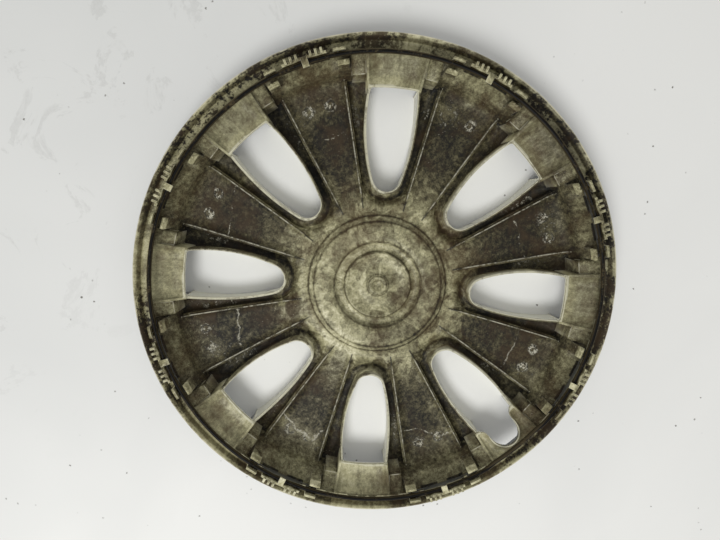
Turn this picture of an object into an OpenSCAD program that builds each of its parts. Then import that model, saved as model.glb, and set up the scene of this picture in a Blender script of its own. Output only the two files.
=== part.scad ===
// Push-on wheel cover with eight windows, lying face down, and its retention wire.
// The rear, which faces the wheel, points up (+Z). The axis is Z and the valve notch is at -Y.

/* [Cover] */
// Outer diameter of the cover
cover_d = 430; // [420:1:440]
// Depth from the rear edge of the rim to the front of the spokes
face_depth = 33; // [30:1:38]
// Wall thickness of the moulding
wall = 2.5; // [2.2:0.1:3]
// Number of windows, spokes and clip combs
windows = 8; // [8:1:8]

/* [Rim] */
// Width of the channel between the outer edge and the skirt
channel_w = 13.8; // [12:0.2:15]
// Depth of that channel below the outer edge
channel_depth = 7; // [5:0.5:9]
// Width of the flat on the outer edge
edge_w = 1.8; // [1:0.2:3]
// Thickness of the skirt that carries the combs
skirt_t = 2.4; // [2:0.1:3]
// Height of the skirt above the outer edge
skirt_h = 3; // [2:0.5:5]
// Width of the sloping shoulder inside the skirt
shoulder_w = 11.8; // [10:0.2:13]
// Depth of the shoulder below the outer edge, at its inner side
shoulder_depth = 9; // [7:0.5:11]
// Rise of the shoulder towards the skirt
shoulder_rise = 7; // [4:0.5:9]

/* [Windows] */
// Radius from the axis to a window's inner end
window_r_in = 85; // [83:0.2:88]
// Distance from a window's outer edge to the shoulder
window_gap = 14; // [12:0.5:16]
// Radius of a window's rounded inner end
window_end_r = 12.5; // [11:0.5:14]
// Half the greatest width of a window
window_half_w = 21.6; // [20:0.2:23]
// Distance from a window's outer edge to its widest place
window_bulge = 21.5; // [18:0.5:26]
// Radius of a window's two outer corners
window_corner_r = 3; // [2:0.5:5]
// Width of the raised lip round a window
lip_w = 2; // [1.6:0.1:2.6]
// Depth of the lip below the rim at its lowest place
lip_depth = 16; // [14:0.5:18]
// Depth of the lip at the inner end
lip_depth_in = 9.3; // [8:0.5:12]
// Depth of the lip at the outer end
lip_depth_out = 8; // [7:0.5:10]
// Half angle of the sloping block outside each window
block_half_deg = 7.7; // [7.5:0.1:8]
// Depth of that block below the rim where its slope eases
block_knee_depth = 2.5; // [2:0.5:4]
// Rise of that block above the rim, at the skirt
block_rise = 2; // [1:0.5:2.5]
// Half angle of a block with the lower wings beside it
wing_half_deg = 11.4; // [11:0.1:11.8]
// Drop from a block's top to its wings
wing_drop = 1.8; // [1.2:0.2:2.4]

/* [Spokes] */
// Radius where the creases beside a window begin
crease_r_in = 76; // [74:0.5:78]
// Half the distance between two creases at that radius
crease_half_in = 19.3; // [18.5:0.1:20.5]
// Half the distance between two creases at the shoulder
crease_half_out = 44; // [42:0.5:46]
// Height of the beads along the creases, blocks and openings
bead = 0.8; // [0.4:0.1:1.2]
// Width of those beads
bead_w = 1.2; // [0.8:0.1:1.6]
// Depth of the trench below the web at its inner end
trench_in = 1; // [0.5:0.5:3]
// Distance from a trench's outer end to the shoulder
trench_gap = 3.5; // [3:0.5:5]
// Height of the panels' front above the front of the ridges
panel_lift = 6.5; // [5:0.5:8]
// Radius where a panel is deepest
panel_r = 165; // [155:1:170]
// Length of the upturned end of each panel
panel_end = 11; // [9:0.5:13]

/* [Hub] */
// Radius of the hub's flat
hub_r = 59; // [57:0.5:61]
// Width of the slope from the hub's flat down to the web
hub_slope = 5; // [4:0.5:6]
// Depth of the web below the rim, just outside the hub
hub_depth = 19.5; // [18:0.5:21]
// Depth of the hub's flat below the rim
hub_flat_depth = 13.5; // [12:0.5:15]
// Radius of the sunken ring's outer side
sink_r = 39.2; // [36:0.2:42]
// Depth of the sunken ring below the flat
sink_depth = 4.5; // [3:0.5:6]
// Outer radius of the centre disc
disc_r = 30.2; // [27:0.2:32]
// Radius of the nub in the middle
nub_r = 9.6; // [7:0.2:12]

/* [Valve notch] */
// Radius of the round end of the notch
notch_r = 13.5; // [12:0.5:15]
// Distance from the notch's end to the skirt
notch_gap = 2.3; // [2:0.1:4]

/* [Clips] */
// Height of a comb above the rim
comb_h = 15; // [14:0.5:18]
// Thickness of a comb's plate
comb_t = 2; // [1.6:0.1:2.2]
// Setback of combs and outer posts from the skirt's outer face
comb_set = 0.6; // [0.4:0.1:0.8]
// Half angle that a comb spans
comb_half_deg = 5.4; // [5:0.1:6]
// Teeth on each half of a comb
teeth = 3; // [2:1:3]
// Angle between two teeth
tooth_pitch_deg = 1.3; // [1.2:0.05:1.4]
// Angle from a comb's middle to its first tooth
tooth_first_deg = 1.7; // [1.5:0.1:1.8]
// Width of a tooth
tooth_w = 1.8; // [1.4:0.1:2.2]
// Reach of the teeth beyond the plate
tooth_reach = 2.8; // [2:0.1:3.5]
// Height of the teeth above the plate
tooth_over = 2.8; // [1:0.2:4]
// Width of the hook over the wire
hook_w = 5.4; // [4:0.2:7]
// Reach of the hook past the wire
hook_over = 2.4; // [1:0.2:3]
// Thickness of the hook
hook_t = 2; // [1.6:0.2:3]
// Angle from a comb's middle to its inner posts
inner_post_deg = 9; // [8.8:0.1:9.2]
// Angle from a comb's middle to its outer posts
outer_post_deg = 8.4; // [8.3:0.1:8.8]
// Angle that a post spans
post_deg = 2.9; // [2:0.1:3]
// Radial depth of an inner post
inner_post_t = 2.4; // [2:0.2:3]
// Distance from an inner post to the wire
inner_post_gap = 2.6; // [1:0.2:3]
// Height of an inner post above the rim
inner_post_h = 12.4; // [11.5:0.2:14]
// Height of an outer post above the rim
outer_post_h = 16.6; // [15:0.2:18]

/* [Wire] */
// Diameter of the wire
wire_d = 3.8; // [3.6:0.1:4.2]
// Height of the wire's centre above the rim
wire_h = 11.4; // [10.8:0.1:12]
// Gap between the wire and what holds it
wire_gap = 0.2; // [0.1:0.05:0.3]
// Radial crank of the wire at the valve notch
crank_in = 1.6; // [1:0.2:3]
// Drop of the wire at the valve notch
crank_drop = 0.4; // [0.2:0.2:2]
// Angle from the valve notch to the start of each crank
crank_deg = 11.3; // [10.5:0.1:11.8]
// Angle that each crank takes
crank_bend_deg = 5; // [3:0.5:6]

/* [Hidden] */
$fn = 180;
end_swell = 0.05;
cream = [0.72, 0.70, 0.58];
steel = [0.12, 0.12, 0.13];
wire_sides = 10;
step_deg = 360 / windows;
valve_deg = 270;
rim_r = cover_d / 2;
rim_z = face_depth;
skirt_r_out = rim_r - channel_w;
skirt_r_in = skirt_r_out - skirt_t;
shoulder_r = skirt_r_in - shoulder_w;
window_r_out = shoulder_r - window_gap;
window_wide_x = window_r_out - window_bulge;
window_end_x = window_r_in + window_end_r;
side_run = window_wide_x - window_end_x;
side_r = (side_run * side_run - window_end_r * window_end_r + window_half_w * window_half_w)
    / (2 * (window_half_w - window_end_r));
side_y = window_half_w - side_r;
crease_deg = atan2(crease_half_out - crease_half_in, crease_x(shoulder_r) - crease_x(crease_r_in));
trench_end_r = crease_distance(window_end_x);
trench_r_out = shoulder_r - trench_gap;
hub_foot_r = hub_r + hub_slope;
comb_r_out = skirt_r_out - comb_set;
comb_r = comb_r_out - comb_t;
wire_r = comb_r - wire_gap - wire_d / 2;
panel_front = wall + panel_lift;
trench_wall = 0.8 * wall;
block_wall_deg = asin(trench_wall / window_r_out);
wing_r_in = trench_r_out - 1;
all_z = rim_z + comb_h + 20;

// Distance along the window's axis of a crease point at a radius from the cover's axis
function crease_x(r) = let (h = r == crease_r_in ? crease_half_in : crease_half_out) sqrt(r * r - h * h);

// Half distance between the creases at x, moved inwards by inset
function crease_y(x, inset = 0) = crease_half_in - inset / cos(crease_deg)
    + tan(crease_deg) * (x - crease_x(crease_r_in));

// Distance from the point x on a window's axis to the crease line
function crease_distance(x) = crease_y(x) * cos(crease_deg);

// Heights of the rear surfaces above the ground at a radius
function panel_z(r) = panel_front + (rim_z - hub_depth - panel_front)
    * pow((panel_r - r) / (panel_r - hub_foot_r), 2);
function ridge_z(r) = wall + (panel_z(crease_r_in) - trench_in - wall)
    * pow(max(0, (window_wide_x - r) / (window_wide_x - crease_r_in)), 2);
function lip_z(r) = let (low_r = window_wide_x - 15)
    rim_z - lip_depth + (r < low_r
        ? (lip_depth - lip_depth_in) * pow((low_r - r) / (low_r - window_r_in), 2)
        : (lip_depth - lip_depth_out) * pow((r - low_r) / (window_r_out - low_r), 2));
function block_z(r) = r < trench_r_out
    ? rim_z - lip_depth_out + (lip_depth_out - block_knee_depth) * (r - window_r_out) / (trench_r_out - window_r_out)
    : rim_z - block_knee_depth + (block_knee_depth + block_rise) * (r - trench_r_out) / (skirt_r_in - trench_r_out);
function shoulder_z(r) = rim_z - shoulder_depth + shoulder_rise * (r - shoulder_r) / shoulder_w;

// Radii from a to b in n steps
function radii(a, b, n) = [for (i = [0 : n]) a + (b - a) * i / n];

// Region of a profile between two chains of points
function band(low, high) = concat(low, [for (i = [len(high) - 1 : -1 : 0]) high[i]]);

// Chain moved down by a wall measured square to it
function lower(chain, t) = [for (i = [0 : len(chain) - 1])
    let (a = chain[max(0, i - 1)], b = chain[min(len(chain) - 1, i + 1)], d = (b - a) / norm(b - a))
    chain[i] + t * [d[1], -d[0]]];

// Chain moved straight down
function sunk(chain, t) = [for (p = chain) p - [0, t]];

// Rear of the spoke panels, from the hub to the middle of the skirt
panel_end_r = shoulder_r - panel_end;
panel_end_rise = shoulder_z(shoulder_r) - panel_z(panel_end_r);
panel_chain = concat(
    [for (r = radii(hub_foot_r, panel_end_r, 6)) [r, panel_z(r)]],
    [for (a = [30, 60]) [shoulder_r - panel_end * (1 - sin(a)), panel_z(panel_end_r) + panel_end_rise * (1 - cos(a))]],
    [[shoulder_r, shoulder_z(shoulder_r)]]);
skirt_mid_r = (skirt_r_in + skirt_r_out) / 2;

// Rear of the trench floors, flat beyond the windows' widest place
ridge_chain = concat(
    [for (r = radii(crease_r_in - 4, window_wide_x, 5)) [r, ridge_z(r)]],
    [[trench_r_out + 2 * wall, wall]]);
ridge_mid = sunk(ridge_chain, wall / 2);

// Rear of the blocks, from inside a window's outer edge to the middle of the skirt
block_chain = [for (r = [window_r_out - 1, trench_r_out, skirt_mid_r]) [r, block_z(r)]];

// The same with a bead along the window's outer edge
block_edge_r = window_r_out + bead_w;
block_edge_chain = concat(
    [for (r = [window_r_out - 1, block_edge_r]) [r, block_z(r) + bead]],
    [for (r = [block_edge_r + bead / 2, trench_r_out, skirt_mid_r]) [r, block_z(r)]]);

// Puts a shape at every window, or half a step on at every clip
module around(half = 0) {
    for (i = [0 : windows - 1])
        rotate(valve_deg + (i + half) * step_deg)
            children();
}

// Ring of revolution with the given section
module turned(points) {
    rotate_extrude()
        polygon(points);
}

// Upright prism through the whole height
module prism() {
    translate([0, 0, -5])
        linear_extrude(all_z)
            children();
}

// Outline of one window along +X, grown by a margin. Its end swells a little so that it crosses the sides
module window_outline(grow = 0) {
    tangent_x = window_end_x - (window_end_r + grow) * side_run / (side_r - window_end_r);
    difference() {
        intersection() {
            translate([window_wide_x, side_y])
                circle(side_r + grow);
            translate([window_wide_x, -side_y])
                circle(side_r + grow);
            circle(window_r_out + grow);
            translate([tangent_x, -rim_r])
                square([rim_r, 2 * rim_r]);
        }
        for (side = [-1, 1])
            window_corner_waste(side, grow);
    }
    translate([window_end_x, 0])
        circle(window_end_r + grow + end_swell);
}

// What rounds one outer corner of a window
module window_corner_waste(side, grow) {
    f = window_corner_r;
    a = side_r - f;
    b = window_r_out - f;
    gap = norm([window_wide_x, side_y]);
    lie = atan2(side_y, window_wide_x);
    turn = acos((gap * gap + b * b - a * a) / (2 * gap * b));
    centre = b * [cos(lie + turn), sin(lie + turn)];
    side_way = (centre - [window_wide_x, side_y]) / a;
    out_way = centre / b;
    reach = f + grow;
    mirror([0, side < 0 ? 1 : 0])
        difference() {
            polygon([
                centre,
                centre + reach * side_way,
                centre + 1.2 * reach * (side_way + out_way),
                centre + reach * out_way]);
            translate(centre)
                circle(reach);
        }
}

// Wedge between the two creases of one window
module crease_outline(inset = 0) {
    intersection() {
        polygon([
            [crease_r_in - 20, -crease_y(crease_r_in - 20, inset)],
            [rim_r, -crease_y(rim_r, inset)],
            [rim_r, crease_y(rim_r, inset)],
            [crease_r_in - 20, crease_y(crease_r_in - 20, inset)]]);
        difference() {
            circle(trench_r_out);
            circle(crease_r_in);
        }
    }
}

// Outline of the trench round one window
module trench_outline(inset = 0, outer = 0) {
    r = trench_end_r - inset;
    x = window_end_x - r * sin(crease_deg);
    intersection() {
        union() {
            translate([window_end_x, 0])
                circle(r);
            polygon([
                [x, -crease_y(x, inset)],
                [rim_r, -crease_y(rim_r, inset)],
                [rim_r, crease_y(rim_r, inset)],
                [x, crease_y(x, inset)]]);
        }
        circle(trench_r_out + outer);
    }
}

// Sector beyond a radius, half_deg each side of +X
module sector(half_deg, inner_r) {
    difference() {
        polygon([[0, 0], cover_d * [cos(half_deg), -sin(half_deg)], cover_d * [cos(half_deg), sin(half_deg)]]);
        circle(inner_r);
    }
}

// Outline of the block beyond one window and of its wings, with their walls
module block_outline() {
    sector(block_half_deg, window_r_out - 1);
    sector(wing_half_deg, wing_r_in);
}

// Outline of the hollow under them, which reaches a little into the window
module block_hollow() {
    sector(block_half_deg - block_wall_deg, window_r_out - 0.5);
    sector(wing_half_deg - block_wall_deg, wing_r_in + wall);
}

// Outline of the valve notch, flared where it meets the window and grown by a margin
module notch_outline(grow = 0) {
    x = skirt_r_in - notch_gap - notch_r;
    half = notch_r + grow;
    side = [
        [window_r_out - 5, half + 5],
        [window_r_out, half + 4],
        [window_r_out + 1.5, half + 1.8],
        [window_r_out + 4, half + 0.6],
        [x, half]];
    translate([x, 0])
        circle(half);
    polygon(band(side, [for (p = side) [p[0], -p[1]]]));
}

// Rear of the hub with its rings and centre disc, from the axis outwards
function hub_chain() = let (flat = rim_z - hub_flat_depth, disc = flat - 2) [
    [0, disc - 0.5],
    [nub_r - 5.5, disc - 0.5],
    [nub_r - 4, disc + 1.5],
    [nub_r - 0.8, disc + 1.5],
    [nub_r, disc],
    [disc_r - 2.8, disc],
    [disc_r - 2, disc + 1],
    [disc_r, disc + 1],
    [disc_r + 0.8, flat - sink_depth],
    [sink_r - 0.8, flat - sink_depth],
    [sink_r, flat - 0.5],
    [hub_r, flat]];

// Front of the hub, from the outside to the axis
function hub_front() = let (flat = rim_z - hub_flat_depth - wall - 1, sink = rim_z - hub_flat_depth - sink_depth - wall) [
    [hub_r - 1, flat],
    [sink_r + wall + 2, flat],
    [sink_r + wall, sink],
    [0, sink]];

// Section of the whole dish: hub, web, spoke panels and shoulder
function dish_section() = let (
        front = lower(panel_chain, wall),
        outer = [skirt_mid_r, shoulder_z(skirt_mid_r)])
    concat(
        hub_chain(),
        panel_chain,
        [outer, outer - [0, wall]],
        [for (i = [len(front) - 1 : -1 : 0]) front[i]],
        hub_front());

// Hub, web, spoke panels and shoulder, open where the trenches and blocks go
module dish() {
    difference() {
        turned(dish_section());
        prism()
            around() {
                trench_outline();
                block_outline();
            }
    }
}

// Fine bead that edges each spoke panel
module crease_beads() {
    intersection() {
        turned(band(sunk(panel_chain, bead), sunk(panel_chain, -bead)));
        prism()
            around()
                difference() {
                    crease_outline(-bead_w / 2);
                    crease_outline(bead_w / 2);
                }
    }
}

// Floor of the trenches, which is the ridge of the front
module ridges() {
    intersection() {
        turned(band(sunk(ridge_chain, wall), ridge_chain));
        prism()
            around()
                difference() {
                    trench_outline(0, wall);
                    window_outline();
                    block_hollow();
                }
    }
}

// Walls from the ridges up to the panels and the shoulder
module trench_walls() {
    intersection() {
        turned(band(ridge_mid, sunk(panel_chain, bead / 2)));
        prism()
            around()
                difference() {
                    trench_outline(0, wall);
                    trench_outline(trench_wall);
                    block_outline();
                }
    }
}

// Raised lips round the windows
module lips() {
    rs = radii(window_r_in - lip_w - 1, window_r_out + lip_w + 1, 6);
    intersection() {
        turned(band(ridge_mid, [for (r = rs) [r, lip_z(r)]]));
        prism()
            around()
                difference() {
                    window_outline(lip_w);
                    window_outline();
                    block_hollow();
                }
    }
}

// Sloping block between each window and the skirt, with its side walls
module blocks() {
    foot_r = trench_r_out + wall / 2;
    intersection() {
        turned(band(sunk(block_chain, wall), block_edge_chain));
        prism()
            around()
                difference() {
                    sector(block_half_deg, window_r_out - 1);
                    window_outline();
                }
    }
    intersection() {
        turned(band(
            [[window_r_out - 1, wall / 2], [foot_r, wall / 2], [foot_r, block_z(foot_r) - wall / 2],
                [skirt_mid_r, block_z(skirt_mid_r) - wall / 2]],
            sunk(block_chain, -bead)));
        prism()
            around()
                difference() {
                    sector(block_half_deg, window_r_out - 1);
                    sector(block_half_deg - block_wall_deg, window_r_out - 0.5);
                    window_outline();
                }
    }
}

// Lower wings beside each block, with the walls that close the trenches under them
module wings() {
    rs = [wing_r_in, trench_r_out, skirt_mid_r];
    top = [for (r = rs) [r, block_z(r) - wing_drop]];
    foot_r = trench_r_out + wall / 2;
    intersection() {
        turned(band(sunk(top, wall), top));
        prism()
            around()
                difference() {
                    sector(wing_half_deg, wing_r_in);
                    sector(block_half_deg - block_wall_deg, wing_r_in - 1);
                }
    }
    intersection() {
        turned(band(
            [[wing_r_in, wall / 2], [foot_r, wall / 2], panel_chain[len(panel_chain) - 2] - [0, wall / 2],
                [shoulder_r, shoulder_z(shoulder_r) - wall / 2], [skirt_mid_r, shoulder_z(skirt_mid_r) - wall / 2]],
            sunk(top, wall / 2)));
        prism()
            around()
                difference() {
                    sector(wing_half_deg, wing_r_in);
                    block_hollow();
                }
    }
}

// Bead along the edge of the valve notch
module notch_bead() {
    intersection() {
        turned(band(sunk(block_chain, wall / 2), sunk(block_chain, -0.8 * bead)));
        rotate(valve_deg)
            prism()
                difference() {
                    notch_outline(bead_w);
                    window_outline();
                }
    }
}

// Rim channel and skirt
module rim() {
    turned([
        [rim_r, rim_z],
        [rim_r - edge_w, rim_z],
        [rim_r - edge_w - 2.2, rim_z - channel_depth + 1.5],
        [rim_r - edge_w - 4, rim_z - channel_depth],
        [skirt_r_out, rim_z - channel_depth - 0.5],
        [skirt_r_out, rim_z + skirt_h],
        [skirt_r_in, rim_z + skirt_h],
        [skirt_r_in, rim_z - channel_depth - 0.5],
        [skirt_r_out + 1, rim_z - channel_depth - 0.5 - wall],
        [rim_r - edge_w - 4, rim_z - channel_depth - wall],
        [rim_r - 2.4, rim_z - channel_depth],
        [rim_r - 0.4, rim_z - 2.5]]);
}

// One clip comb at +X, with its hook and the seat of the wire
module comb() {
    hook_r = wire_r - wire_d / 2 - hook_over;
    seat_z = rim_z + wire_h - wire_d / 2 - wire_gap;
    rotate(-comb_half_deg)
        rotate_extrude(angle = 2 * comb_half_deg)
            polygon([
                [comb_r, rim_z],
                [comb_r_out, rim_z],
                [comb_r_out, rim_z + comb_h],
                [comb_r, rim_z + comb_h],
                [comb_r, seat_z],
                [wire_r - wire_d / 4, seat_z],
                [comb_r, rim_z + skirt_h + 1]]);
    for (side = [-1, 1], i = [0 : teeth - 1])
        rotate(side * (tooth_first_deg + i * tooth_pitch_deg))
            tooth();
    translate([hook_r, -hook_w / 2, rim_z + wire_h + wire_d / 2 + wire_gap])
        cube([comb_r_out - 0.5 - hook_r, hook_w, hook_t]);
}

// One barbed tooth on the outside of a comb
module tooth() {
    top = rim_z + comb_h + tooth_over;
    translate([comb_r_out, tooth_w / 2, 0])
        rotate([90, 0, 0])
            linear_extrude(tooth_w)
                polygon([
                    [-comb_t, top - tooth_over - 1],
                    [-comb_t / 2, rim_z + skirt_h - 1],
                    [tooth_reach, top - tooth_over],
                    [tooth_reach, top - 1],
                    [tooth_reach - 1, top],
                    [-comb_t, top]]);
}

// Posts that guide the wire beside one comb
module posts() {
    inner_r = wire_r - wire_d / 2 - inner_post_gap;
    outer_r = wire_r + wire_d / 2 + wire_gap;
    for (side = [-1, 1]) {
        rotate(side * inner_post_deg - post_deg / 2)
            rotate_extrude(angle = post_deg)
                polygon([
                    [inner_r - inner_post_t, shoulder_z(inner_r - inner_post_t) - wall / 2],
                    [inner_r, shoulder_z(inner_r) - wall / 2],
                    [inner_r, rim_z + inner_post_h],
                    [inner_r - inner_post_t, rim_z + inner_post_h]]);
        rotate(side * outer_post_deg - post_deg / 2)
            rotate_extrude(angle = post_deg)
                translate([outer_r, rim_z])
                    square([comb_r_out - outer_r, outer_post_h]);
    }
}

// Rim channel, skirt and all that holds the wire
module clip_ring() {
    rim();
    around(0.5) {
        comb();
        posts();
    }
}

module cover() {
    color(cream)
        union() {
            difference() {
                union() {
                    dish();
                    crease_beads();
                    ridges();
                    trench_walls();
                    blocks();
                    wings();
                    notch_bead();
                    lips();
                }
                rotate(valve_deg)
                    prism()
                        notch_outline();
            }
            clip_ring();
        }
}

// Share of the crank at an angle from the valve notch, from 0 on the full ring to 1
function crank_share(deg) = let (u = min(1, max(0, (crank_deg - abs(deg)) / crank_bend_deg)))
    (1 - cos(180 * u)) / 2;

// Centre of the wire at an angle from the valve notch
function wire_point(deg) = let (share = crank_share(deg), r = wire_r - crank_in * share)
    [r * cos(deg), r * sin(deg), rim_z + wire_h - crank_drop * share];

// Angles of the wire's sections, closer together in the cranks
function wire_angles() = concat(
    [for (i = [0 : 119]) crank_deg + (360 - 2 * crank_deg) * i / 120],
    [for (i = [0 : 8]) -crank_deg + crank_bend_deg * i / 8],
    [for (i = [1 : 7]) -crank_deg + crank_bend_deg + 2 * (crank_deg - crank_bend_deg) * i / 8],
    [for (i = [0 : 7]) crank_deg - crank_bend_deg + crank_bend_deg * i / 8]);

// Points round the wire at one of its sections
function wire_section(deg) = let (
        way = wire_point(deg + 0.05) - wire_point(deg - 0.05),
        along = way / norm(way),
        out = cross(along, [0, 0, 1]) / norm(cross(along, [0, 0, 1])),
        up = cross(out, along))
    [for (j = [0 : wire_sides - 1])
        wire_point(deg) + wire_d / 2 * (cos(360 * j / wire_sides) * out + sin(360 * j / wire_sides) * up)];

module wire_ring() {
    sections = [for (deg = wire_angles()) wire_section(deg)];
    n = len(sections);
    m = wire_sides;
    color(steel)
        rotate(valve_deg)
            polyhedron(
                points = [for (section = sections) for (point = section) point],
                faces = [for (i = [0 : n - 1]) for (j = [0 : m - 1])
                    [i * m + j, i * m + (j + 1) % m, ((i + 1) % n) * m + (j + 1) % m, ((i + 1) % n) * m + j]]);
}

cover();
wire_ring();
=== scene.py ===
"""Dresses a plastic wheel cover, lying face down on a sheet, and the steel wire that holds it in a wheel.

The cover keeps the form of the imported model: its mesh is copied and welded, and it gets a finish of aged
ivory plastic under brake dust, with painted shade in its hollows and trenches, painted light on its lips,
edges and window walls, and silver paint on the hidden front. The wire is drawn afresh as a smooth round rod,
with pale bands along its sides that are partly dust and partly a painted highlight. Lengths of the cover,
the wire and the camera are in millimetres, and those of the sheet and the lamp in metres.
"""
import logging
import math
from dataclasses import dataclass, field
from enum import Enum
from typing import Any

import bmesh
import bpy
from mathutils import Matrix, Vector


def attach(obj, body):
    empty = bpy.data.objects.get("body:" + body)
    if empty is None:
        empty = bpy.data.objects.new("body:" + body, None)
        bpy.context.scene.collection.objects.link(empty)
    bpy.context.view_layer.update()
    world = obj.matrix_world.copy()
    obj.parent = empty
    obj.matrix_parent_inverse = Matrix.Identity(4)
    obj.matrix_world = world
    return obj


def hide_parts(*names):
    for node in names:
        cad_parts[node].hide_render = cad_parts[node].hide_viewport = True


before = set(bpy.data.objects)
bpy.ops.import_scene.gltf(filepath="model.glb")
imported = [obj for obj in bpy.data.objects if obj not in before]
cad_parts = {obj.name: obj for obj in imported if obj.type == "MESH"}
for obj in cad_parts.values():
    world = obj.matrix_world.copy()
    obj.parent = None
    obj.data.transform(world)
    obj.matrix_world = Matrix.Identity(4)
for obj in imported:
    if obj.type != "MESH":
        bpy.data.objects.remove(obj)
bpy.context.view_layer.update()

MM = 0.001
BODY = "root"
LOG = logging.getLogger("wheel_cover")
PHOTO_TURN_DEG = 40.67
RIM_Z = 33
WIRE_R = 196.5

Colour = tuple[float, float, float]


def linear(red: int, green: int, blue: int) -> Colour:
    """Turns a display colour into the linear one that shaders take.

    Args:
        red: Red from 0 to 255.
        green: Green from 0 to 255.
        blue: Blue from 0 to 255.

    Returns:
        The colour in linear light.
    """
    shares = (channel / 255 for channel in (red, green, blue))
    return tuple(s / 12.92 if s <= 0.04045 else ((s + 0.055) / 1.055) ** 2.4 for s in shares)


class Kind(Enum):
    """Kinds of nodes that the finishes and the sky are made of."""

    NUMBER = "ShaderNodeMath"
    VECTOR = "ShaderNodeVectorMath"
    STEP = "ShaderNodeMapRange"
    PARTS = "ShaderNodeSeparateXYZ"
    WHOLE = "ShaderNodeCombineXYZ"
    PLACE = "ShaderNodeTexCoord"
    GEOMETRY = "ShaderNodeNewGeometry"
    OCCLUSION = "ShaderNodeAmbientOcclusion"
    NOISE = "ShaderNodeTexNoise"
    CELLS = "ShaderNodeTexVoronoi"
    RAMP = "ShaderNodeValToRGB"
    MIX = "ShaderNodeMix"
    BUMP = "ShaderNodeBump"
    SURFACE = "ShaderNodeBsdfPrincipled"
    BACKGROUND = "ShaderNodeBackground"
    MATERIAL_END = "ShaderNodeOutputMaterial"
    WORLD_END = "ShaderNodeOutputWorld"


class Value:
    """One output socket of a node tree. Python's operators on it add Math nodes."""

    def __init__(self, graph: "Graph", socket: bpy.types.NodeSocket) -> None:
        """Keeps the socket and the graph that it belongs to."""
        self.graph = graph
        self.socket = socket

    def _math(self, operation: str, *inputs: Any) -> "Value":
        """Adds a Math node.

        Args:
            operation: Blender's name of the operation.
            *inputs: Values or numbers for its sockets, in order.

        Returns:
            The node's result.
        """
        return self.graph.node(Kind.NUMBER, {"operation": operation}, dict(enumerate(inputs)))

    def __add__(self, other: Any) -> "Value":
        """Sum with a value or number."""
        return self._math("ADD", self, other)

    def __radd__(self, other: Any) -> "Value":
        """Sum of a number and this value."""
        return self._math("ADD", other, self)

    def __sub__(self, other: Any) -> "Value":
        """Difference from a value or number."""
        return self._math("SUBTRACT", self, other)

    def __rsub__(self, other: Any) -> "Value":
        """A number less this value."""
        return self._math("SUBTRACT", other, self)

    def __mul__(self, other: Any) -> "Value":
        """Product with a value or number."""
        return self._math("MULTIPLY", self, other)

    def __rmul__(self, other: Any) -> "Value":
        """Product of a number and this value."""
        return self._math("MULTIPLY", other, self)

    def __truediv__(self, other: Any) -> "Value":
        """Quotient by a value or number."""
        return self._math("DIVIDE", self, other)

    def __rtruediv__(self, other: Any) -> "Value":
        """A number over this value."""
        return self._math("DIVIDE", other, self)

    def __pow__(self, other: Any) -> "Value":
        """This value to a power."""
        return self._math("POWER", self, other)

    def __neg__(self) -> "Value":
        """This value with its sign turned."""
        return self._math("MULTIPLY", self, -1)

    def __abs__(self) -> "Value":
        """Size of this value."""
        return self._math("ABSOLUTE", self)

    def sin(self) -> "Value":
        """Sine of this value in radians."""
        return self._math("SINE", self)

    def cos(self) -> "Value":
        """Cosine of this value in radians."""
        return self._math("COSINE", self)

    def least(self, other: Any) -> "Value":
        """The smaller of two values."""
        return self._math("MINIMUM", self, other)

    def most(self, other: Any) -> "Value":
        """The larger of two values."""
        return self._math("MAXIMUM", self, other)

    def rise(self, low: float, high: float, start: float = 0, end: float = 1) -> "Value":
        """Smooth step that runs from start to end.

        Args:
            low: Where the step begins.
            high: Where the step ends.
            start: Result below low.
            end: Result above high.

        Returns:
            The stepped value.
        """
        return self.graph.node(
            Kind.STEP,
            {"interpolation_type": "SMOOTHSTEP"},
            {"Value": self, "From Min": low, "From Max": high, "To Min": start, "To Max": end},
        )

    def fall(self, low: float, high: float) -> "Value":
        """Smooth step down from one to nothing between low and high."""
        return self.rise(low, high, 1, 0)

    def around(self, middle: Any, half: float, soft: float) -> "Value":
        """Band that is one within half of the middle and fades over a soft margin."""
        return abs(self - middle).fall(half, half + soft)


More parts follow.
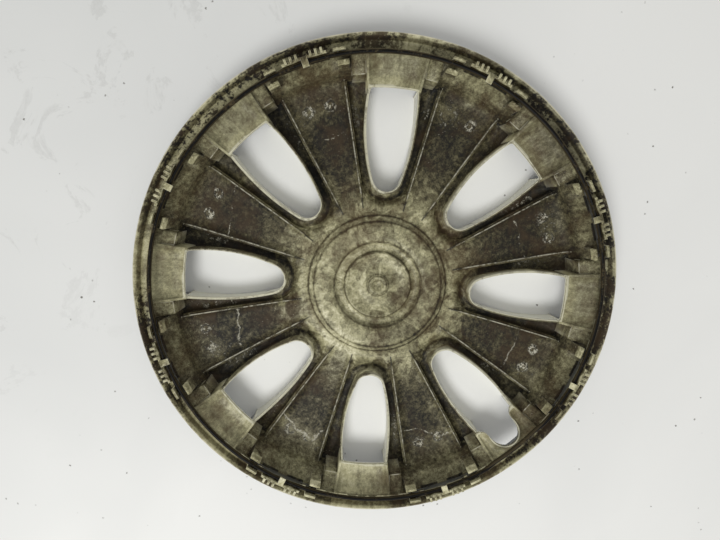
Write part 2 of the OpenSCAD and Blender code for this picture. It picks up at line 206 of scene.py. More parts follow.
class Graph:
    """Node tree of one material or world, and the one method that adds its nodes."""

    def __init__(self, owner: bpy.types.ID) -> None:
        """Empties the owner's node tree.

        Args:
            owner: Material or world whose tree is built.
        """
        owner.use_nodes = True
        self.tree = owner.node_tree
        self.tree.nodes.clear()

    def node(self, kind: Kind, settings: dict[str, Any] | None = None, inputs: dict[Any, Any] | None = None,
             output: int | str = 0) -> Value | None:
        """Adds a node.

        Args:
            kind: Kind of the node.
            settings: Properties, set before the sockets. Stops holds a ramp's places and colours.
            inputs: Values, numbers or colours by the name or number of their socket.
            output: Name or number of the socket that is returned.

        Returns:
            One output of the new node, or nothing from a node without outputs.
        """
        made = self.tree.nodes.new(kind.value)
        for name, setting in (settings or {}).items():
            if name == "stops":
                self._set_stops(made.color_ramp, setting)
            else:
                setattr(made, name, setting)
        for name, given in (inputs or {}).items():
            socket = made.inputs[name]
            if isinstance(given, Value):
                self.tree.links.new(given.socket, socket)
            elif socket.type == "RGBA" and len(given) == 3:
                socket.default_value = (*given, 1)
            else:
                socket.default_value = given
        return Value(self, made.outputs[output]) if made.outputs else None

    @staticmethod
    def _set_stops(ramp: bpy.types.ColorRamp, stops: tuple[tuple[float, Colour], ...]) -> None:
        """Gives a colour ramp its stops."""
        while len(ramp.elements) < len(stops):
            ramp.elements.new(1)
        for element, (place, colour) in zip(ramp.elements, stops):
            element.position = place
            element.color = (*colour, 1)

    def part(self, vector: Value, axis: str) -> Value:
        """One component of a vector."""
        return self.node(Kind.PARTS, None, {0: vector}, axis)

    def mix(self, share: Any, under: Any, over: Any) -> Value:
        """Lays one colour over another.

        Args:
            share: How much of the upper colour shows, from 0 to 1.
            under: Lower colour.
            over: Upper colour.

        Returns:
            The blended colour.
        """
        return self.node(
            Kind.MIX,
            {"data_type": "RGBA", "clamp_factor": True},
            {"Factor": share, 6: under, 7: over},
            2,
        )

    def noise(self, place: Value, size: float, detail: float = 4, rough: float = 0.55,
              twist: float = 0) -> Value:
        """Cloudy noise.

        Args:
            place: Coordinates that it is read at.
            size: Size of its largest features, in the same unit.
            detail: Number of finer layers.
            rough: Strength of those layers.
            twist: Distortion of the pattern.

        Returns:
            A value about one half.
        """
        return self.node(
            Kind.NOISE,
            None,
            {"Vector": place, "Scale": 1 / size, "Detail": detail, "Roughness": rough, "Distortion": twist},
        )

    def cells(self, place: Value, size: float, flat: bool = False) -> Value:
        """Distance to the nearest of scattered points, in cell sizes, in space or on the plane."""
        space = "2D" if flat else "3D"
        return self.node(
            Kind.CELLS, {"voronoi_dimensions": space}, {"Vector": place, "Scale": 1 / size}, "Distance"
        )

    def ramp(self, value: Any, stops: tuple[tuple[float, Colour], ...]) -> Value:
        """Colour that runs through the given stops as a value goes from 0 to 1."""
        return self.node(Kind.RAMP, {"stops": stops}, {0: value})

    def profile(self, value: Value, levels: list[tuple[float, float]]) -> Value:
        """Number that runs through the given levels as a value goes from 0 to 1."""
        return self.ramp(value, tuple((place, (level, level, level)) for place, level in levels)) * 1

    def surface(self, inputs: dict[str, Any]) -> Value:
        """Adds the main shader with its inputs."""
        return self.node(Kind.SURFACE, None, inputs)

    def finish(self, kind: Kind, shader: Value) -> None:
        """Links a shader to a new end node of that kind."""
        self.node(kind, None, {"Surface": shader})


@dataclass(frozen=True)
class CoverForm:
    """Sizes of the cover that its finish follows, in millimetres and degrees."""

    rim_z: float = RIM_Z
    rim_r: float = 215
    edge_band_r: float = 211.4
    skirt_r: float = 201.2
    shoulder_r: float = 187
    trench_r_out: float = 183.5
    windows: int = 8
    window_r_in: float = 85
    window_r_out: float = 173
    window_wide_x: float = 151.5
    window_half_w: float = 21.6
    window_end_r: float = 12.5
    notch_x: float = 183
    notch_r: float = 13.5
    lip_low_r: float = 136.5
    lip_low_z: float = 17
    lip_in_z: float = 23.7
    lip_out_z: float = 25
    block_half_deg: float = 7.7
    block_r_in: float = 171.5
    wing_half_deg: float = 11.4
    wing_r_in: float = 181.8
    wing_edge_r: float = 183
    strip_r: float = 187.5
    strip_off_deg: float = 13.2
    comb_r_in: float = 188
    slot_r: float = 199.4
    slot_off_deg: float = 3.7
    crease_r_in: float = 76
    crease_half_in: float = 19.3
    crease_half_out: float = 44
    panel_z: float = 9
    panel_r: float = 165
    web_rise: float = 4.5
    hub_foot_r: float = 64
    mark_r: float = 166
    mark_off: float = 10

    @property
    def step_deg(self) -> float:
        """Angle from one window to the next."""
        return 360 / self.windows

    @property
    def crease_x_in(self) -> float:
        """Distance along a window's axis where its creases begin."""
        return math.sqrt(self.crease_r_in ** 2 - self.crease_half_in ** 2)

    @property
    def crease_slope(self) -> float:
        """Sideways run of a crease for each millimetre outwards."""
        x_out = math.sqrt(self.shoulder_r ** 2 - self.crease_half_out ** 2)
        return (self.crease_half_out - self.crease_half_in) / (x_out - self.crease_x_in)

    def beside_window(self, along: Value, off_axis: Value) -> Value:
        """Distance outwards from the side of a window, carried on past its outer end."""
        end_x = self.window_r_in + self.window_end_r
        run = self.window_wide_x - end_x
        side_r = (run ** 2 - self.window_end_r ** 2 + self.window_half_w ** 2) / (
            2 * (self.window_half_w - self.window_end_r)
        )
        side_y = self.window_half_w - side_r
        to_side = ((along - self.window_wide_x) ** 2 + (off_axis - side_y) ** 2) ** 0.5 - side_r
        to_end = ((along - end_x) ** 2 + off_axis ** 2) ** 0.5 - self.window_end_r
        past_end = along.rise(end_x - 4, end_x - 3.5)
        return to_end * (1 - past_end) + to_side * past_end

    def lip_height(self, r: Value) -> Value:
        """Height of the lip round a window at a radius."""
        inner = ((self.lip_low_r - r).most(0) / (self.lip_low_r - self.window_r_in)) ** 2
        outer = ((r - self.lip_low_r).most(0) / (self.window_r_out - self.lip_low_r)) ** 2
        rise_in, rise_out = self.lip_in_z - self.lip_low_z, self.lip_out_z - self.lip_low_z
        return inner * rise_in + outer * rise_out + self.lip_low_z

    def panel_height(self, r: Value) -> Value:
        """Height of the spoke panels at a radius."""
        return ((self.panel_r - r) / (self.panel_r - self.hub_foot_r)) ** 2 * self.web_rise + self.panel_z


class Spot:
    """Where a point of the cover lies: its coordinates and the noises read there."""

    def __init__(self, g: Graph, form: CoverForm) -> None:
        """Adds the nodes for the coordinates and noises.

        Args:
            g: Graph of the material.
            form: Sizes of the cover.
        """
        place = g.node(Kind.PLACE, None, None, "Object")
        self.mm = g.node(Kind.VECTOR, {"operation": "SCALE"}, {0: place, "Scale": 1 / MM})
        self.x, self.y, self.z = (g.part(self.mm, axis) for axis in "XYZ")
        facing = g.node(Kind.GEOMETRY, None, None, "Normal")
        face_x, face_y, self.up = (g.part(facing, axis) for axis in "XYZ")
        self.r = (self.x * self.x + self.y * self.y) ** 0.5
        self.outward = (face_x * self.x + face_y * self.y) / self.r
        bearing = g.node(Kind.NUMBER, {"operation": "ARCTAN2"}, {0: self.y, 1: self.x}) * (180 / math.pi)
        steps = bearing / form.step_deg + (form.windows * 2 + 0.5)
        self.folded = (g.node(Kind.NUMBER, {"operation": "FRACT"}, {0: steps}) - 0.5) * form.step_deg
        turn = self.folded * (math.pi / 180)
        self.along = self.r * turn.cos()
        self.side = self.r * turn.sin()
        self.off_axis = abs(self.side)
        self.off_deg = abs(self.folded)
        station = form.step_deg / 2 - self.off_deg
        self.from_station = self.r * (station * (math.pi / 180)).sin()
        self.beside_window = form.beside_window(self.along, self.off_axis)
        self.from_window = self.beside_window.most(self.r - form.window_r_out)
        self.from_notch = (self.x ** 2 + (self.y + form.notch_x) ** 2) ** 0.5 - form.notch_r
        self.broad = g.noise(self.mm, 130, 3, 0.5)
        self.cloud = g.noise(self.mm, 52, 5, 0.6)
        self.blotch = g.noise(self.mm, 17, 6, 0.68, 0.5)
        self.peel = g.noise(self.mm, 30, 4, 0.55, 1.2)
        self.grit = g.noise(self.mm, 3.4, 5, 0.75)
        self.fine = g.noise(self.mm, 0.8, 3, 0.6)
        streak_place = g.node(Kind.WHOLE, None, {0: bearing * 1.6, 1: self.r / 22, 2: self.z / 30})
        self.streak = g.noise(streak_place, 1, 4, 0.65)
        crease_off = form.crease_half_in + (self.along - form.crease_x_in) * form.crease_slope
        self.past_crease = crease_off - self.off_axis
        self.in_block = (
            self.off_deg.fall(form.block_half_deg, form.block_half_deg + 0.15)
            * self.r.rise(form.block_r_in, form.block_r_in + 1)
        )
        self.in_wing = (
            self.off_deg.fall(form.wing_half_deg, form.wing_half_deg + 0.15)
            * self.r.rise(form.wing_r_in, form.wing_r_in + 0.8)
        ).most(self.in_block)
        self.in_trench = (
            self.past_crease.rise(-0.1, 0.5) * self.r.rise(74, 77)
            * self.r.fall(form.trench_r_out, form.trench_r_out + 0.6) * (1 - self.in_wing)
        )


@dataclass(frozen=True)
class CoverFinish:
    """Aged ivory plastic under brake dust on the rear, with painted shade in its hollows, trenches and gaps
    and painted light on its edges, lips and window walls, and silver paint on the front.
    """

    form: CoverForm = field(default_factory=CoverForm)
    name: str = "aged_ivory_plastic"
    soil_and_shade: tuple[tuple[float, Colour], ...] = (
        (0.0, linear(218, 213, 178)),
        (0.3, linear(166, 161, 125)),
        (0.42, linear(137, 133, 102)),
        (0.6, linear(98, 92, 67)),
        (0.75, linear(66, 61, 41)),
        (0.88, linear(36, 33, 20)),
        (1.0, linear(12, 11, 8)),
    )
    soil_by_radius: tuple[tuple[float, float], ...] = (
        (0, 0.4), (29, 0.41), (31, 0.36), (38, 0.3), (41, 0.45), (57, 0.45), (60, 0.4), (66, 0.41),
        (73, 0.42), (88, 0.62), (102, 0.77), (118, 0.84), (146, 0.88), (156, 0.85), (165, 0.74), (176, 0.76),
        (186, 0.67), (189, 0.55), (198, 0.6), (202, 0.53), (208, 0.55), (212, 0.62), (214, 0.66),
    )
    ring_lines: tuple[tuple[float, float], ...] = (
        (7.4, 0), (8.4, 0.2), (9.4, 0.02), (10.2, 0.3), (11, 0), (29.2, -0.04), (30.8, 0.34), (31.8, 0),
        (38.2, -0.1), (39.8, 0.36), (41, 0), (55, 0), (57, -0.14), (58.6, 0.4), (59.6, 0.1), (62.4, -0.1),
        (63.8, 0.42), (65, 0),
    )
    ivory: Colour = linear(206, 201, 174)
    lip_ivory: Colour = linear(205, 202, 178)
    lit_wall_white: Colour = linear(226, 225, 212)
    soot: Colour = linear(16, 15, 12)
    rust: Colour = linear(92, 72, 44)
    # Colour of scale crust, also used for painted highlights on edges and creases.
    scale_and_highlight: Colour = linear(208, 204, 184)
    paint: Colour = linear(168, 170, 172)

    def build(self) -> bpy.types.Material:
        """Builds the material.

        Returns:
            The finished material.
        """
        material = bpy.data.materials.new(self.name)
        g = Graph(material)
        form = self.form
        at = Spot(g, form)
        cavity_shade_and_grime = g.node(Kind.OCCLUSION, {"samples": 8}, {"Distance": 8 * MM}, "AO")
        crevice_shade_and_grime = g.node(Kind.OCCLUSION, {"samples": 8}, {"Distance": 1.8 * MM}, "AO")
        edge = 1 - g.node(
            Kind.OCCLUSION, {"samples": 8, "inside": True}, {"Distance": 0.8 * MM}, "AO"
        )

        noise = (at.cloud - 0.5) * 0.6 + (at.blotch - 0.5) * 0.9 + (at.grit - 0.5) * 1.05
        noise = noise + (at.fine - 0.5) * 0.5 + (at.broad - 0.5) * 0.35
        bared = at.peel.rise(0.5, 0.53) - at.peel.rise(0.6, 0.62) * 0.6
        noise = noise - (bared - 0.4) * at.r.rise(88, 112, 0.17, 0.05)
        noise = noise * (1 - at.in_block * 0.35)
        level = g.profile(at.r / form.rim_r, [(r / form.rim_r, t) for r, t in self.soil_by_radius])
        wavy_r = at.r + (at.blotch - 0.5) * 1.6
        level = level + g.profile(wavy_r / form.rim_r, [(r / form.rim_r, t) for r, t in self.ring_lines])
        level = self._trench_level(at, level)
        block_level = at.r.rise(173, 184) * 0.2 + 0.25 + (at.streak - 0.5) * 0.28 + (at.broad - 0.5) * 0.7
        level = level * (1 - at.in_block) + block_level * at.in_block
        wing_only = at.in_wing * (1 - at.in_block)
        level = level * (1 - wing_only) + wing_only * 0.56
        strip = at.r.around(form.strip_r, 4, 3) * at.off_deg.around(form.strip_off_deg, 1.4, 0.8)
        level = level + strip * 0.1
        rim = at.r.rise(form.skirt_r - 0.4, form.skirt_r)
        clusters = (at.blotch + at.grit * 1.2 + at.cloud * 0.8).rise(1.46, 1.58)
        clusters = clusters * at.broad.rise(0.4, 0.56) * 0.45
        outer_band = at.r.around(form.edge_band_r, 0.6, 0.9) * 0.3
        level = level + rim * at.z.fall(form.rim_z + 1, form.rim_z + 2) * (clusters - 0.1 + outer_band)
        # Painted shade in the gaps on either side of each clip's stem, between the wire and the comb bar.
        slot_shade_way = (form.step_deg / 2 - at.off_deg).around(form.slot_off_deg, 2.2, 0.3)
        slot_shade = at.r.around(form.slot_r, 1.5, 0.5) * slot_shade_way
        level = level + slot_shade * at.z.fall(form.rim_z + 7, form.rim_z + 8) * 0.4
        # Painted shade on the steep walls at the outer ends of the trenches.
        level = level + at.in_trench * at.up.fall(0.3, 0.6) * at.r.rise(171, 173) * 0.2
        past_block = at.off_deg.rise(form.block_half_deg, form.block_half_deg + 0.2)
        # Painted shade on the steep faces along the wings' inner edges.
        wing_face_shade = at.r.around(form.wing_edge_r - 0.2, 1, 0.4) * past_block
        level = level + wing_face_shade * at.in_wing * at.up.fall(0.3, 0.6) * 0.24
        photo_turn = math.radians(PHOTO_TURN_DEG)
        across = at.x * math.cos(photo_turn) - at.y * math.sin(photo_turn)
        # Painted light: the hub is lighter on its left and darker on its right, as the camera sees it.
        level = level + (across + (at.peel - 0.5) * 60).rise(-20, 20, -0.05, 0.06) * at.r.fall(62, 74)
        comb = at.z.rise(form.rim_z + 4, form.rim_z + 6) * at.r.rise(form.comb_r_in, form.comb_r_in + 1)
        level = level * (1 - comb) + comb * 0.3
        level = level + noise
        # Painted shade: hollows and crevices darken by occlusion, which also stands for the grime gathered
        # there.
        level = level + cavity_shade_and_grime.fall(0.3, 0.9) * 0.22 + crevice_shade_and_grime.fall(0.25, 0.75) * 0.3
        # The ramp colours the darkness level, which holds soil and painted shade alike.
        colour = g.ramp(level, self.soil_and_shade)
        colour = g.mix((at.cloud * 0.7 + at.blotch * 0.5).rise(0.56, 0.75) * 0.35, colour, self.rust)

        colour = self._lips(g, at, colour)
        colour = self._marks(g, at, colour)
        brim = at.r.rise(213.8, 214.3) * (1 - (at.blotch * 0.8 + at.cloud * 0.8).rise(0.74, 0.88))
        colour = g.mix(brim * 0.8, colour, self.ivory)
        # Painted highlight: pale, patchy lines along the top edges of the wings and blocks.
        edge_highlight = at.r.around(form.wing_edge_r, 0.3, 0.3) * past_block
        edge_highlight = edge_highlight.most(at.off_deg.around(form.block_half_deg + 0.15, 0.1, 0.08))
        edge_highlight = edge_highlight * at.in_wing * at.up.rise(0.5, 0.8) * at.r.fall(192, 194)
        colour = g.mix(edge_highlight * at.grit.rise(0.35, 0.6) * 0.7, colour, self.scale_and_highlight)
        # Convex edges lighten towards ivory: partly wear, partly a painted highlight.
        wear_and_highlight = (edge * 2.2 - 0.2 + (at.grit - 0.5) * 1.2).rise(0.2, 0.8)
        colour = g.mix(wear_and_highlight * 0.5, colour, self.ivory)

        front = self._front(at)
        colour = g.mix(front, colour, self.paint)
        bump_height = at.fine * 0.25 + at.grit * 0.7 + at.blotch * 0.4
        normal = g.node(Kind.BUMP, None, {"Strength": 0.45, "Distance": 0.4 * MM, "Height": bump_height})
        roughness = (0.42 + level.rise(0.2, 0.9) * 0.25 + (at.grit - 0.5) * 0.4) * (1 - front) + front * 0.32
        shader = g.surface(
            {"Base Color": colour, "Roughness": roughness, "Metallic": front * 0.55, "Normal": normal,
             "Specular IOR Level": 0.34}
        )
        g.finish(Kind.MATERIAL_END, shader)
        return material

    def _front(self, at: Spot) -> Value:
        """Share of silver paint: all that faces down, and the outer sides of the front ridges."""
        end_r = self.form.trench_r_out
        low = (self.form.panel_height(at.r) - at.z).rise(1, 1.4) * at.past_crease.fall(-0.6, -0.3)
        ridge_end = at.r.rise(end_r + 0.8, end_r + 1.2) * at.z.fall(19, 20) * at.outward.rise(0.3, 0.6)
        low = (low * at.r.rise(70, 72)).most(ridge_end)
        # Leaves the windows' walls without silver paint, so that they keep their near-white painted light.
        unpainted_lit_wall = at.beside_window.fall(0.8, 1.6) * at.r.fall(end_r + 0.5, end_r + 0.9)
        unpainted_lit_wall = unpainted_lit_wall * at.up.rise(-0.8, -0.6)
        return at.up.fall(-0.25, -0.1).most(low) * (1 - unpainted_lit_wall)

    def _trench_level(self, at: Spot, level: Value) -> Value:
        """Darkens the trenches with soil and painted shade: brown at their shallow inner ends, black where
        they are deep.

        Args:
            at: Place and noises.
            level: Darkness so far, from soil and painted shade, from 0, clean, to 1, black.

        Returns:
            The darkness with the trenches in it.
        """
        depth = self.form.panel_height(at.r) - at.z
        # Painted shade: the floor darkens the deeper it lies below the panels, on top of its soil.
        floor_soil_and_shade = 0.62 + depth.rise(0.8, 5) * 0.26 + (at.streak - 0.5) * 0.2
        # Painted shade: darker beside the crease wall, and lighter on one side of each trench than on the
        # other.
        floor_soil_and_shade = floor_soil_and_shade + at.past_crease.fall(0.5, 4) * 0.14 - at.side.rise(-4, 4) * 0.1
        end_arc = at.from_window.around(6.6, 0.9, 0.8) - at.from_window.fall(3, 4.6) * 0.6
        floor_soil_and_shade = floor_soil_and_shade + at.r.fall(84, 92) * end_arc * 0.2
        return level * (1 - at.in_trench) + floor_soil_and_shade * at.in_trench

    def _lips(self, g: Graph, at: Spot, colour: Value) -> Value:
        """Brightens the tops of the lips, paints light on their outer sides, the left ones further down, and
        paints the windows' inner walls near-white as light.

        Args:
            g: Graph of the material.
            at: Place and noises.
            colour: Colour so far.

        Returns:
            The colour with pale lips.
        """
        below = self.form.lip_height(at.r) - at.z
        left = at.side.rise(-2, 2)
        width = left * 1.1 + 0.6
        on_lip = (at.from_window - width).fall(0.1, 0.4) * at.r.fall(175, 176)
        top = below.fall(0.3, 1.1) * at.up.rise(-0.2, 0.5)
        patchy = 1 - (at.grit + at.blotch * 0.7).rise(0.84, 1.05) * 0.75
        # Painted light: a pale flank beside each lip, stronger on the left side, as if lit from there.
        lit_flank = below.fall(1.5, 9) * (left * 0.36 + 0.04) * (at.grit + 0.5)
        lit_flank = lit_flank * at.from_window.fall(3, 5) * at.in_trench
        lip = (on_lip * top * patchy * at.r.rise(90, 115, 0.95, 0.78)).most(lit_flank.least(1))
        # Painted light: the windows' inner walls turn near-white, paler than the lips, so that they look as
        # bright as the lit sheet.
        lit_inner_wall = at.beside_window.fall(1.2, 1.6) * at.r.fall(184, 184.4) * at.up.fall(0.5, 0.7)
        lit_inner_wall = lit_inner_wall * below.rise(0.6, 1.2)
        colour = g.mix(lit_inner_wall * 0.95, colour, self.lit_wall_white)
        notch_lip = at.from_notch.around(0.5, 0.5, 0.3) * at.r.rise(175, 176) * at.up.rise(0.3, 0.6)
        return g.mix(lip.most(notch_lip * 0.85), colour, self.lip_ivory)

    def _marks(self, g: Graph, at: Spot, colour: Value) -> Value:
        """Adds tide lines, ejector rings and specks of scale to the panels, a dark line at the inner end of
        each crease, and a pale line along each crease that is partly wear and partly a painted highlight.

        Args:
            g: Graph of the material.
            at: Place and noises.
            colour: Colour so far.

        Returns:
            The colour with its marks.
        """
        on_panel = at.past_crease.fall(-1.2, -0.6) * at.r.rise(96, 100) * at.r.fall(176, 182)
        wander = (at.broad - 0.5) * 110 + (at.cloud - 0.5) * 16 + (at.grit - 0.5) * 7
        tide = (at.r + wander).around(150, 0.2, 0.7) * (at.grit * 1.2 + at.peel * 1.6).rise(1.38, 1.5)
        colour = g.mix(tide * on_panel * 0.55, colour, self.scale_and_highlight)
        off_mark = ((at.from_station - self.form.mark_off) ** 2 + (at.r - self.form.mark_r) ** 2) ** 0.5
        spot_r = off_mark + (at.blotch - 0.5) * 7
        here = at.cloud.rise(0.42, 0.48) * on_panel
        colour = g.mix((spot_r + (at.grit - 0.5) * 4).around(3.6, 0.5, 0.8) * here * 0.7, colour, self.soot)
        flecks = spot_r.fall(3.5, 6.5) * (at.grit + at.fine * 0.4).rise(0.7, 0.8)
        colour = g.mix(flecks * here * 0.85, colour, self.scale_and_highlight)
        crust = (at.grit * 0.9 + at.fine * 0.35).rise(0.7, 0.8) * (at.r + wander).rise(148, 152)
        crust = crust * (spot_r + (at.cloud - 0.5) * 60).fall(4, 14)
        colour = g.mix(crust * on_panel * 0.5, colour, self.scale_and_highlight)
        crusted = at.in_trench * at.r.around(150, 14, 6) * at.past_crease.around(6, 1.5, 2)
        crusted = crusted * at.broad.rise(0.5, 0.56)
        colour = g.mix(crusted * (at.grit + at.fine * 0.3).rise(0.68, 0.78) * 0.6, colour, self.scale_and_highlight)
        # A dark line along each crease near its inner end.
        crease_end_line = abs(at.past_crease).fall(0.5, 0.9) * at.r.around(76, 4, 1.5)
        colour = g.mix(crease_end_line * 0.75, colour, self.soot)
        # Partly wear, partly a painted highlight: a patchy pale line along the top of each crease.
        crease_wear_and_highlight = abs(at.past_crease + 0.1).fall(0.4, 0.75) * at.r.rise(80, 86) * at.r.fall(176, 184)
        crease_wear_and_highlight = crease_wear_and_highlight * at.up.rise(0.3, 0.6) * (at.grit + at.blotch * 0.7).rise(0.72, 0.95)
        colour = g.mix(crease_wear_and_highlight * 0.6, colour, self.scale_and_highlight)
        speck = g.cells(at.mm, 2.6).fall(0.08, 0.18) * at.blotch.rise(0.54, 0.7)
        return g.mix(speck * 0.5, colour, self.scale_and_highlight)


@dataclass(frozen=True)
class WireFinish:
    """Black coating on the steel wire, dusty and scuffed, with pale bands along its sides that are partly
    dust and partly a painted highlight.
    """

    name: str = "coated_steel_wire"
    coat: Colour = linear(9, 8, 6)
    dust_and_sheen_colour: Colour = linear(84, 74, 52)
    middle_r: float = WIRE_R

    def build(self) -> bpy.types.Material:
        """Builds the material.

        Returns:
            The finished material.
        """
        material = bpy.data.materials.new(self.name)
        g = Graph(material)
        place = g.node(Kind.PLACE, None, None, "Object")
        mm = g.node(Kind.VECTOR, {"operation": "SCALE"}, {0: place, "Scale": 1 / MM})
        patch = g.noise(mm, 21, 5, 0.6)
        grit = g.noise(mm, 1.6, 4, 0.6)
        x, y = (g.part(mm, axis) for axis in "XY")
        r = (x * x + y * y) ** 0.5
        wavy_r = r + (patch - 0.5) * 2
        outer_side = wavy_r.rise(self.middle_r + 0.5, self.middle_r + 1.1)
        inner_side = wavy_r.fall(self.middle_r - 1.7, self.middle_r - 1.2)
        # Dust, and along both sides of the rod a pale band that is partly dust and partly a painted
        # highlight.
        dust_and_sheen = (patch * 0.8 + grit * 0.6).rise(0.7, 0.95).most(outer_side * 0.9).most(inner_side * 0.6)
        colour = g.mix(dust_and_sheen * 0.8, self.coat, self.dust_and_sheen_colour)
        normal = g.node(Kind.BUMP, None, {"Strength": 0.3, "Distance": 0.15 * MM, "Height": grit})
        shader = g.surface(
            {"Base Color": colour, "Roughness": dust_and_sheen * 0.3 + 0.45, "Normal": normal,
             "Specular IOR Level": 0.12}
        )
        g.finish(Kind.MATERIAL_END, shader)
        return material


@dataclass(frozen=True)
class SheetFinish:
    """White sheet under the cover, greyed to the upper left by painted shade and strewn with a few crumbs,
    in metres.
    """

    name: str = "white_sheet"
    speck: Colour = linear(92, 88, 78)
    white: Colour = linear(238, 238, 235)
    shaded_grey: Colour = linear(217, 218, 216)
    turn_deg: float = PHOTO_TURN_DEG

    def build(self) -> bpy.types.Material:
        """Builds the material.

        Returns:
            The finished material.
        """
        material = bpy.data.materials.new(self.name)
        g = Graph(material)
        place = g.node(Kind.PLACE, None, None, "Object")
        turn = math.radians(self.turn_deg)
        x, y = (g.part(place, axis) for axis in "XY")
        across = x * math.cos(turn) - y * math.sin(turn)
        ahead = x * math.sin(turn) + y * math.cos(turn)
        broad = g.noise(place, 0.35, 3, 0.5, 0.6)
        # Painted shade: the sheet greys towards the upper left, as if the light fell off there.
        shade = (ahead - across).rise(-0.1, 0.5) * 0.75 + (broad - 0.5) * 1.2
        colour = g.mix(shade.most(0), self.white, self.shaded_grey)
        ragged = g.noise(place, 0.0025, 3, 0.7)
        scuff = g.noise(place, 0.05, 5, 0.7, 0.8).rise(0.56, 0.62) * (ahead - across).rise(0.1, 0.4)
        colour = g.mix(scuff * ragged * 0.2, colour, self.speck)
        crumb = (g.cells(place, 0.024, True) + (ragged - 0.5) * 0.14).fall(0.02, 0.05)
        crumb = crumb * g.noise(place, 0.05, 4, 0.7).rise(0.55, 0.62)
        colour = g.mix(crumb * 0.85, colour, self.speck)
        shader = g.surface({"Base Color": colour, "Roughness": 0.9, "Specular IOR Level": 0.1})
        g.finish(Kind.MATERIAL_END, shader)
        return material


def put_on(name: str, shape: bmesh.types.BMesh) -> bpy.types.Object:
    """Makes an object of a finished shape and puts it in the scene.

    Args:
        name: Name of the object.
        shape: Its shape, which is freed.

    Returns:
        The new object.
    """
    mesh = bpy.data.meshes.new(name)
    shape.to_mesh(mesh)
    shape.free()
    made = bpy.data.objects.new(name, mesh)
    bpy.context.scene.collection.objects.link(made)
    return made


@dataclass
class Cover:
    """The moulded cover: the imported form, shaded smooth between its edges."""

    merge: float = 0.004
    smooth_deg: float = 35
    finish: CoverFinish = field(default_factory=CoverFinish)

    def build(self) -> bpy.types.Object:
        """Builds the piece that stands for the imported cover.

        Returns:
            The dressed cover.
        """
        shape = bmesh.new()
        shape.from_mesh(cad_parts["cover"].data)
        bmesh.ops.remove_doubles(shape, verts=shape.verts[:], dist=self.merge * MM)
        piece = put_on("cover_shell", shape)
        piece.data.set_sharp_from_angle(angle=math.radians(self.smooth_deg))
        piece.data.polygons.foreach_set("use_smooth", [True] * len(piece.data.polygons))
        piece.data.materials.clear()
        piece.data.materials.append(self.finish.build())
        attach(piece, BODY)
        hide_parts("cover")
        return piece


@dataclass
class Wire:
    """The retention wire: a round rod bent into a ring, a little flatter past the valve."""

    rod_d: float = 3.8
    ring_r: float = WIRE_R
    ring_z: float = 44.4
    valve_deg: float = 270
    crank_in: float = 1.6
    crank_drop: float = 0.4
    crank_deg: float = 11.3
    bend_deg: float = 5
    rod_sides: int = 16
    step_deg: float = 1.0
    finish: WireFinish = field(default_factory=WireFinish)

    def _centre(self, degrees: float) -> Vector:
        """Centre of the rod at an angle from the valve.

        Args:
            degrees: Angle from the valve notch.

        Returns:
            The point in millimetres, with the valve notch along +X.
        """
        share = min(1, max(0, (self.crank_deg - abs(degrees)) / self.bend_deg))
        share = (1 - math.cos(math.pi * share)) / 2
        reach = self.ring_r - self.crank_in * share
        angle = math.radians(degrees)
        height = self.ring_z - self.crank_drop * share
        return Vector((reach * math.cos(angle), reach * math.sin(angle), height))

    def _section(self, degrees: float) -> Matrix:
        """Placement of the rod's round section at an angle from the valve."""
        way = (self._centre(degrees + 0.05) - self._centre(degrees - 0.05)).normalized()
        out = way.cross(Vector((0, 0, 1))).normalized()
        frame_axes = Matrix((out, out.cross(way), way)).transposed().to_4x4()
        return Matrix.Translation(self._centre(degrees)) @ frame_axes

    def build(self) -> bpy.types.Object:
        """Builds the rod by drawing its round section along the ring.

        Returns:
            The dressed wire.
        """
        shape = bmesh.new()
        start = -180
        here = self._section(start)
        bmesh.ops.create_circle(
            shape, cap_ends=False, radius=self.rod_d / 2, segments=self.rod_sides, matrix=here
        )
        ring = shape.edges[:]
        steps = round(360 / self.step_deg)
        for step in range(1, steps):
            there = self._section(start + step * self.step_deg)
            drawn = bmesh.ops.extrude_edge_only(shape, edges=ring)["geom"]
            ring = [e for e in drawn if isinstance(e, bmesh.types.BMEdge)]
            points = [v for v in drawn if isinstance(v, bmesh.types.BMVert)]
            bmesh.ops.transform(shape, matrix=there @ here.inverted(), verts=points)
            here = there
        open_edges = [e for e in shape.edges if e.is_boundary]
        bmesh.ops.bridge_loops(shape, edges=open_edges)
        bmesh.ops.recalc_face_normals(shape, faces=shape.faces[:])
        placing = Matrix.Scale(MM, 4) @ Matrix.Rotation(math.radians(self.valve_deg), 4, "Z")
        bmesh.ops.transform(shape, matrix=placing, verts=shape.verts[:])
        piece = put_on("wire_rod", shape)
        piece.data.polygons.foreach_set("use_smooth", [True] * len(piece.data.polygons))
        piece.data.materials.append(self.finish.build())
        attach(piece, BODY)
        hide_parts("wire_ring")
        return piece


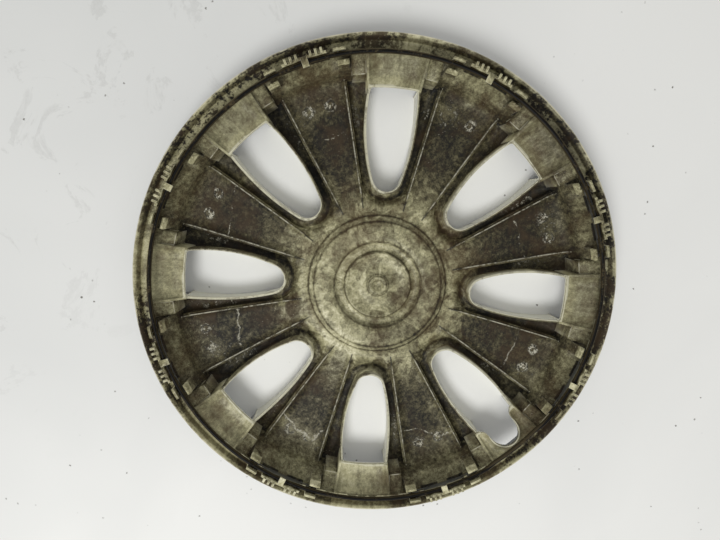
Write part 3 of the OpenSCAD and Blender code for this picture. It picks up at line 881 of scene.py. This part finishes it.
@dataclass
class Studio:
    """Sheet, lamp, sky and camera: sheet and lamp in metres, the camera's place in millimetres."""

    sheet_size: float = 3.0
    lamp_size: float = 0.95
    lamp_power: float = 23.5
    lamp_place: tuple[float, float, float] = (-0.55, -1.0, 1.75)
    sky: Colour = (1.0, 1.0, 0.985)
    sky_strength: float = 0.5
    lens: float = 24
    sensor: float = 36
    tilt_x_deg: float = 8.636
    tilt_y_deg: float = 2.119
    roll_deg: float = PHOTO_TURN_DEG
    shift_right: float = 16.70
    shift_up: float = -16.25
    distance: float = 426.9
    rim_z: float = RIM_Z

    def build(self) -> None:
        """Builds everything round the object."""
        self._lay_sheet()
        self._hang_lamp()
        self._light_sky()
        self._set_camera()
        bpy.context.scene.view_settings.view_transform = "Standard"

    def _lay_sheet(self) -> None:
        """Lays the sheet that the cover rests on."""
        shape = bmesh.new()
        bmesh.ops.create_grid(shape, x_segments=1, y_segments=1, size=self.sheet_size / 2)
        sheet = put_on("sheet", shape)
        sheet.data.materials.append(SheetFinish().build())

    def _hang_lamp(self) -> None:
        """Hangs one large soft lamp in front of the cover, to the left."""
        light = bpy.data.lights.new("soft_lamp", "AREA")
        light.shape = "DISK"
        light.size = self.lamp_size
        light.energy = self.lamp_power
        lamp = bpy.data.objects.new("soft_lamp", light)
        place = Matrix.Rotation(math.radians(-self.roll_deg), 4, "Z") @ Vector(self.lamp_place)
        lamp.location = place
        lamp.rotation_euler = place.to_track_quat("Z", "Y").to_euler()
        bpy.context.scene.collection.objects.link(lamp)

    def _light_sky(self) -> None:
        """Gives the world an even pale light."""
        world = bpy.data.worlds.new("pale_sky")
        g = Graph(world)
        sky = g.node(Kind.BACKGROUND, None, {"Color": self.sky, "Strength": self.sky_strength})
        g.finish(Kind.WORLD_END, sky)
        bpy.context.scene.world = world

    def _set_camera(self) -> None:
        """Places the camera above the cover, as far off and as tilted as in the photograph."""
        turn = (
            Matrix.Rotation(math.radians(self.tilt_x_deg), 4, "X")
            @ Matrix.Rotation(math.radians(self.tilt_y_deg), 4, "Y")
            @ Matrix.Rotation(math.radians(self.roll_deg), 4, "Z")
        )
        shift = Matrix.Translation(Vector((self.shift_right, self.shift_up, -self.distance)) * MM)
        lower = Matrix.Translation((0, 0, -self.rim_z * MM))
        data = bpy.data.cameras.new("camera")
        data.lens = self.lens
        data.sensor_width = self.sensor
        data.clip_start = 0.01
        camera = bpy.data.objects.new("camera", data)
        camera.matrix_world = (shift @ turn @ lower).inverted()
        bpy.context.scene.collection.objects.link(camera)
        bpy.context.scene.camera = camera


def main() -> None:
    """Builds each piece in turn, then the stage."""
    logging.basicConfig(level=logging.INFO, format="%(message)s")
    Studio().build()
    for maker in (Cover(), Wire()):
        piece = maker.build()
        LOG.info("%s: %d faces", piece.name, len(piece.data.polygons))


if __name__ == "__main__":
    main()
